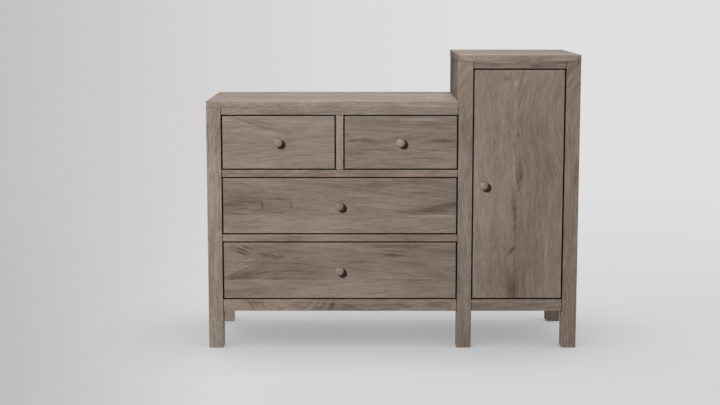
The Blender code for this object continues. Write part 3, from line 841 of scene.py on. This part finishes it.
# Looks of the drawer fronts: their figure, fan of grain, tone, glued joint and marks
FRONTS = {
    "left_drawer": {
        "figure": Figure(0.03, 0.06, 0.05, 0.07, 0.011, 0.005, 1.1),
        "level": 0.61,
        "marks": (
            Mark(-0.5, 0.801, 0.09, 0.006, 19, 0.17),
            Mark(-0.43, 0.779, 0.06, 0.006, 12, 0.16),
            Mark(-0.47, 0.806, 0.07, 0.006, 17, 0.16),
            Mark(-0.44, 0.764, 0.1, 0.01, 8, -0.15),
            Mark(-0.545, 0.772, 0.035, 0.006, 0, -0.16),
            Mark(-0.254, 0.747, 0.07, 0.006, 6, 0.12),
            Mark(-0.223, 0.771, 0.03, 0.006, 0, 0.12),
            Mark(-0.568, 0.75, 0.02, 0.006, 0, 0.12),
        ),
    },
    "right_drawer": {
        "figure": Figure(0.03, 0.03, 0.02, 0.12, 0.011, 0.005, 4.0),
        "level": 0.53,
        "marks": (
            Mark(-0.094, 0.738, 0.06, 0.012, 4, 0.3),
            Mark(-0.143, 0.737, 0.035, 0.01, 0, 0.24),
            Mark(0.171, 0.7365, 0.08, 0.011, 2, 0.3),
            Mark(0.05, 0.742, 0.09, 0.008, 0, 0.16),
            Mark(0.129, 0.705, 0.13, 0.0055, 3, 0.2),
            Mark(-0.05, 0.705, 0.11, 0.0055, 0, 0.18),
            Mark(0.025, 0.673, 0.15, 0.0055, -2, 0.2),
            Mark(0.12, 0.676, 0.11, 0.0055, 3, 0.16),
            Mark(0.1, 0.688, 0.1, 0.016, 0, 0.1),
            Mark(-0.007, 0.8, 0.08, 0.026, 0, 0.04, 2.5),
            # Painted highlight: a pale band along the front's upper edge
            Mark(0.06, 0.812, 0.2, 0.009, 0, -0.14),
        ),
    },
    "middle_drawer": {
        "figure": Figure(0.02, 0.025, 0.02, 0.16, 0.011, 0.005, 6.9),
        "level": 0.61,
        "joints": (Joint(0.4757, 0.8, 0.15, -0.1),),
        "marks": (
            Mark(-0.52, 0.519, 0.13, 0.026, 0, 0.08),
            Mark(-0.56, 0.512, 0.06, 0.01, 0, 0.1),
            Mark(-0.4584, 0.512, 0.022, 0.01, 80, 0.22),
            Mark(-0.3568, 0.514, 0.021, 0.01, 80, 0.22),
            Mark(-0.395, 0.5323, 0.06, 0.005, 3, 0.2),
            Mark(0.15, 0.504, 0.14, 0.024, -6, 0.1),
            Mark(0.2, 0.515, 0.08, 0.03, -4, 0.08),
            Mark(0.09, 0.5546, 0.05, 0.0045, 0, 0.28),
            Mark(-0.17, 0.528, 0.13, 0.03, 0, 0.04, 3.0),
            Mark(-0.06, 0.58, 0.06, 0.012, 0, 0.14),
            Mark(0.113, 0.4865, 0.15, 0.011, 0, 0.2),
            Mark(0.155, 0.5, 0.09, 0.018, -8, 0.12),
            Mark(0.14, 0.4728, 0.16, 0.0045, 0, -0.26),
        ),
    },
    "bottom_drawer": {
        "figure": Figure(-0.02, 0.03, 0.03, 0.12, 0.011, 0.005, 9.8),
        "fan": Fan(-0.3, 0.3293, 0.2455, 18.0),
        "level": 0.58,
        "joints": (Joint(0.2455, 0.9, 0.12, -0.04),),
        "marks": (
            Mark(-0.533, 0.34, 0.044, 0.006, 18, 0.36),
            Mark(-0.53, 0.3515, 0.042, 0.006, 25, 0.34),
            Mark(-0.51, 0.359, 0.042, 0.006, 21, 0.24),
            Mark(-0.552, 0.356, 0.03, 0.006, 22, 0.18),
            *(Mark(-0.45 + 0.03 * i, 0.334 - 0.003 * i, 0.03, 0.006, 26, 0.15) for i in range(3)),
            Mark(-0.41, 0.324, 0.04, 0.011, -4, 0.16),
            Mark(-0.38, 0.347, 0.07, 0.01, 0, 0.18),
            Mark(-0.53, 0.2515, 0.08, 0.007, -3, 0.22),
            Mark(-0.557, 0.264, 0.04, 0.008, -24, 0.17),
            Mark(-0.522, 0.3085, 0.06, 0.008, -20, -0.12),
            Mark(-0.508, 0.288, 0.07, 0.006, -18, 0.12),
            Mark(-0.505, 0.2705, 0.06, 0.006, -16, 0.14),
            Mark(-0.458, 0.2675, 0.06, 0.006, -14, 0.12),
            Mark(0.001, 0.333, 0.06, 0.01, 2, 0.28),
            Mark(0.02, 0.346, 0.08, 0.008, 3, 0.18),
            Mark(-0.045, 0.362, 0.08, 0.005, 0, 0.2),
            Mark(0.08, 0.365, 0.11, 0.005, 0, 0.2),
            Mark(0.145, 0.27, 0.09, 0.04, 0, 0.05, 3.0),
            Mark(0.185, 0.22, 0.07, 0.028, 0, 0.04, 2.0),
            Mark(-0.12, 0.308, 0.08, 0.0045, -4, 0.22),
            Mark(-0.4, 0.28, 0.3, 0.2, 0, 0.04),
            Mark(0.08, 0.28, 0.3, 0.2, 0, 0.07),
        ),
    },
}
# Tone of each knob
KNOB_TONES = {
    "left_drawer": 0.49,
    "right_drawer": 0.78,
    "middle_drawer": 0.56,
    "bottom_drawer": 0.52,
    "door": 0.62,
}
# A front lines its opening on all four sides, and those edges get painted shade
FRONT_SHADED_EDGES = {
    "shaded_sides": [ShadedSide(side) for side in (LEFTWARD, RIGHTWARD, UNDER, UPPER)],
    "gap_shade_colour": FRONT_GAP_SHADE,
}


def make_drawers():
    """The drawers: their fronts and knobs, and the pale boxes behind the fronts."""
    for i, (drawer, looks) in enumerate(FRONTS.items()):
        front = {"body": drawer, "slot": "front_wood", "edge": FRONT_EDGE, "contrast": 0.88}
        board(drawer + "_front", LEVEL, **front, **looks, **FRONT_SHADED_EDGES)
        make_knob(drawer + "_knob", drawer, KNOB_TONES[drawer])
        for word in ("left_side", "right_side", "back"):
            axes = LEVEL if word == "back" else FRONT_TO_BACK
            figure = Figure(0.05, 0.12, 0.01, 0.02, 0.004, 0.008, 1.7 * i + 0.6 * len(word))
            dress(f"{drawer}_{word}", axes, figure, colours=PALE_BOX, contrast=0.5)
        figure = Figure(0.0, 0.08, 0.02, 0.05, 0.012, 0.03, 2.1 * i + 8.0)
        dress(drawer + "_bottom", FLAT, figure, colours=PALE_BOX, contrast=0.5)


def make_runners():
    """The wooden runners that carry the drawers."""
    runners = [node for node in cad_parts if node.endswith("_runner")]
    for i, node in enumerate(runners):
        figure = Figure(0.03, 0.1, 0.0, 0.01, 0.004, 0.006, i * 1.9)
        dress(node, FRONT_TO_BACK, figure, colours=PALE_BOX, contrast=0.5)


def make_door():
    """The door with its knob, its hinges and the catch."""
    marks = (
        Mark(0.4255, 0.87, 0.13, 0.011, 90, -0.13),
        Mark(0.424, 0.64, 0.09, 0.006, 88, -0.16),
        Mark(0.447, 0.635, 0.08, 0.013, 82, 0.26),
        Mark(0.438, 0.6, 0.05, 0.01, 84, 0.2),
        *(Mark(0.426 + 0.004 * i, 0.43 + 0.035 * i, 0.024, 0.005, -64, 0.24) for i in range(6)),
        Mark(0.425, 0.5, 0.11, 0.014, 86, 0.2),
        Mark(0.419, 0.35, 0.03, 0.01, -58, 0.4),
        Mark(0.418, 0.225, 0.1, 0.042, 90, 0.16),
        Mark(0.427, 0.2, 0.06, 0.026, 90, 0.14),
        Mark(0.4345, 0.757, 0.014, 0.006, 90, 0.26),
        Mark(0.4263, 0.937, 0.018, 0.012, 90, -0.2, 1.0),
        Mark(0.397, 0.953, 0.03, 0.012, 0, 0.16),
        Mark(0.5826, 0.8617, 0.13, 0.05, 90, 0.03, 3.0),
        Mark(0.54, 0.33, 0.2, 0.008, 90, -0.14),
        Mark(0.548, 0.5, 0.16, 0.007, 89, -0.14),
        Mark(0.36, 0.6, 0.3, 0.02, 90, 0.06),
        Mark(0.437, 0.3, 0.25, 0.25, 90, 0.09),
        Mark(0.35, 0.3, 0.22, 0.1, 90, 0.06),
    )
    figure = Figure(-0.0455, 0.008, 0.0, -0.7, 0.014, 0.007, 3.3, 0.042)
    joints = (Joint(0.4275, 0.4, 0.05, 0.0, 0.229, 0.24, 0.05),)
    looks = {
        "level": 0.555,
        "contrast": 0.76,
        "fine": 1.65,
        "rings": 0.84,
        "joints": joints,
        "marks": marks,
    }
    seated_board("door", UPRIGHT, figure, "door", "front_wood", **looks, **FRONT_SHADED_EDGES)
    make_knob("door_knob", "door", KNOB_TONES["door"])
    steel = dark_steel("blackened_steel")
    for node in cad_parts:
        if "hinge" in node:
            cover(node, steel)
    cover("door_catch", moulded_plastic("brown_plastic"))


def screw_shape(place, outward):
    """A low screw head with a six-lobed recess, its seat at place."""
    recess = 0.0014
    crown = (0.0022, 0.0019)
    rim = (0.0036, 0.0)
    lobes = 6
    lobe_depth = 0.22
    profile = [(0.0, 0.0006), (recess * 0.8, 0.0007), (recess, 0.0018), crown]
    profile += [*arc(crown, rim, 6, 90, 0), (0.0, 0.0)]
    shape = turned_shape(profile, Vector((0.0, 0.0, 0.0)))
    for vert in shape.verts:
        if 0.0 < math.hypot(vert.co.x, vert.co.z) < recess + 1e-5:
            around = math.atan2(vert.co.z, vert.co.x)
            drawn_in = 1.0 - lobe_depth * (1.0 + math.cos(lobes * around)) / 2
            vert.co.x *= drawn_in
            vert.co.z *= drawn_in
    turn = FORWARD.rotation_difference(outward).to_matrix()
    bmesh.ops.rotate(shape, cent=(0.0, 0.0, 0.0), matrix=turn, verts=shape.verts)
    bmesh.ops.translate(shape, vec=place, verts=shape.verts)
    return shape


def add_screws(name, places, outward, finish, body):
    """Screws that ride on a body, as one piece."""
    together = bmesh.new()
    mesh = bpy.data.meshes.new(name)
    for place in places:
        shape = screw_shape(Vector(place), outward)
        shape.to_mesh(mesh)
        shape.free()
        together.from_mesh(mesh)
    bpy.data.meshes.remove(mesh)
    made = piece(name, together, finish, body, "hinge_steel")
    made.data.set_sharp_from_angle(angle=SHARP_ANGLE)


def make_fixings():
    """Screws that hold the knobs and the back panels, and the steel strike of the door catch."""
    steel = dark_steel("screw_steel")
    for body in (*FRONTS, "door"):
        front = "door" if body == "door" else body + "_front"
        low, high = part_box(body + "_knob")
        place = ((low.x + high.x) / 2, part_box(front)[1].y, (low.z + high.z) / 2)
        add_screws(body + "_knob_screw", [place], BACKWARD, steel, body)

    edge_gap = 0.012
    corner_gap = 0.03
    places = []
    for node in ("low_back_panel", "tall_back_panel"):
        low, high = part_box(node)
        for i in range(5):
            height = low.z + corner_gap + (high.z - low.z - 2 * corner_gap) * i / 4
            places += [(low.x + edge_gap, high.y, height), (high.x - edge_gap, high.y, height)]
        for i in range(1, 4):
            across = low.x + (high.x - low.x) * i / 4
            places += [(across, high.y, low.z + edge_gap), (across, high.y, high.z - edge_gap)]
    add_screws("back_screws", places, BACKWARD, steel, "case")

    thickness = 0.0004
    strike_edge = 0.00015
    end_gap = 0.001
    side_gap = 0.004
    low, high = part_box("door_catch")
    door_low, door_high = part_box("door")
    start = Vector((door_low.x + end_gap, door_high.y, low.z + side_gap))
    end = Vector((high.x - end_gap, door_high.y + thickness, high.z - side_gap))
    strike = board_shape(start, end, strike_edge)
    even_shading(piece("catch_strike", strike, steel, "door", "hinge_steel"))


def make_floor():
    """A pale floor that shows the backdrop, darkened where the dresser stands close over it."""
    contact_reach = 0.5
    contact_shade = 0.5
    shape = bmesh.new()
    bmesh.ops.create_circle(shape, cap_ends=True, segments=96, radius=9.0)
    mesh = bpy.data.meshes.new("floor")
    shape.to_mesh(mesh)
    shape.free()
    floor = bpy.data.objects.new("floor", mesh)
    bpy.context.scene.collection.objects.link(floor)
    material, tree = new_finish("pale_floor")
    openness = tree.node("ShaderNodeAmbientOcclusion", {"samples": 16}, {"Distance": contact_reach}, "AO")
    shade = 1.0 - (1.0 - openness) * contact_shade
    clear = tree.node("ShaderNodeBsdfTransparent", None, {0: tree.joined(shade, shade, shade)})
    pale = tree.node("ShaderNodeBsdfDiffuse", None, {0: (0.15, 0.15, 0.15, 1.0)})
    surface = tree.node("ShaderNodeMixShader", None, {0: tree.looking(), 1: pale, 2: clear})
    tree.node("ShaderNodeOutputMaterial", None, {"Surface": surface})
    mesh.materials.append(material)


def make_backdrop():
    """A grey backdrop, darker on the left, that fades into its ground, and the light that fills the room."""
    world = bpy.data.worlds.new("studio")
    bpy.context.scene.world = world
    tree = Tree(world)
    heading, _, rise = tree.parts(tree.node("ShaderNodeTexCoord", output="Generated"))
    # Greys out of 255 at shares of the way across
    wall_greys = ((0.0, 192), (0.3, 212), (0.68, 223))
    ground_greys = ((0.0, 186), (0.3, 215), (0.7, 212))
    left_heading = -0.25
    width = 0.5
    across = (heading - left_heading) / width
    wall, ground = (
        tree.ramp(across, [(place, linear((grey,) * 3)) for place, grey in greys])
        for greys in (wall_greys, ground_greys)
    )
    backdrop = tree.mixed(rise.ease(-0.1, -0.24), wall, ground)
    colour = tree.mixed(tree.looking(), (0.03, 0.03, 0.03, 1.0), backdrop)
    light = tree.node("ShaderNodeBackground", None, {"Color": colour, "Strength": 1.0})
    tree.node("ShaderNodeOutputWorld", None, {"Surface": light})


def add_light(name, place, target, size, watts, only=()):
    """A soft rectangular light aimed at a target, which may light only some pieces."""
    lamp = bpy.data.lights.new(name, "AREA")
    lamp.shape = "RECTANGLE"
    lamp.size, lamp.size_y = size
    lamp.energy = watts
    made = bpy.data.objects.new(name, lamp)
    made.location = place
    made.rotation_euler = (Vector(target) - Vector(place)).to_track_quat("-Z", "Y").to_euler()
    bpy.context.scene.collection.objects.link(made)
    if only:
        lit = bpy.data.collections.new(name + "_pieces")
        for piece_name in only:
            lit.objects.link(bpy.data.objects[piece_name])
        made.light_linking.receiver_collection = lit


def make_camera():
    """The camera at the viewing angle of the photo."""
    lens = bpy.data.cameras.new("camera")
    lens.lens = 73.3
    lens.sensor_width = 36.0
    camera = bpy.data.objects.new("camera", lens)
    camera.location = (-0.115, -5.32065, 1.2378)
    camera.rotation_euler = (math.radians(90 - 8.035), 0.0, 0.0)
    bpy.context.scene.collection.objects.link(camera)
    bpy.context.scene.camera = camera


make_posts()
make_tops()
make_rails()
make_panels()
make_drawers()
make_runners()
make_door()
make_fixings()
make_floor()
make_backdrop()
add_light("key", (-2.41, -4.62, 2.83), (0.0, -0.23, 0.55), (0.7, 0.7), 360.0)
add_light("overhead", (-0.1, 0.9, 3.4), (0.0, 0.2, 0.9), (2.4, 2.0), 78.0)
add_light("right_side", (4.4, 1.0, 0.6), (0.6, 1.0, 0.6), (2.0, 0.5), 130.0)
add_light("behind", (1.2, 5.0, 0.6), (0.2, 0.25, 0.6), (1.6, 0.5), 160.0)
add_light("leg_fill", (0.2, -3.0, 0.3), (0.62, 0.19, 0.06), (0.3, 0.3), 41.0, ["rear_right_post_board"])
make_camera()
bpy.context.scene.view_settings.view_transform = "Standard"
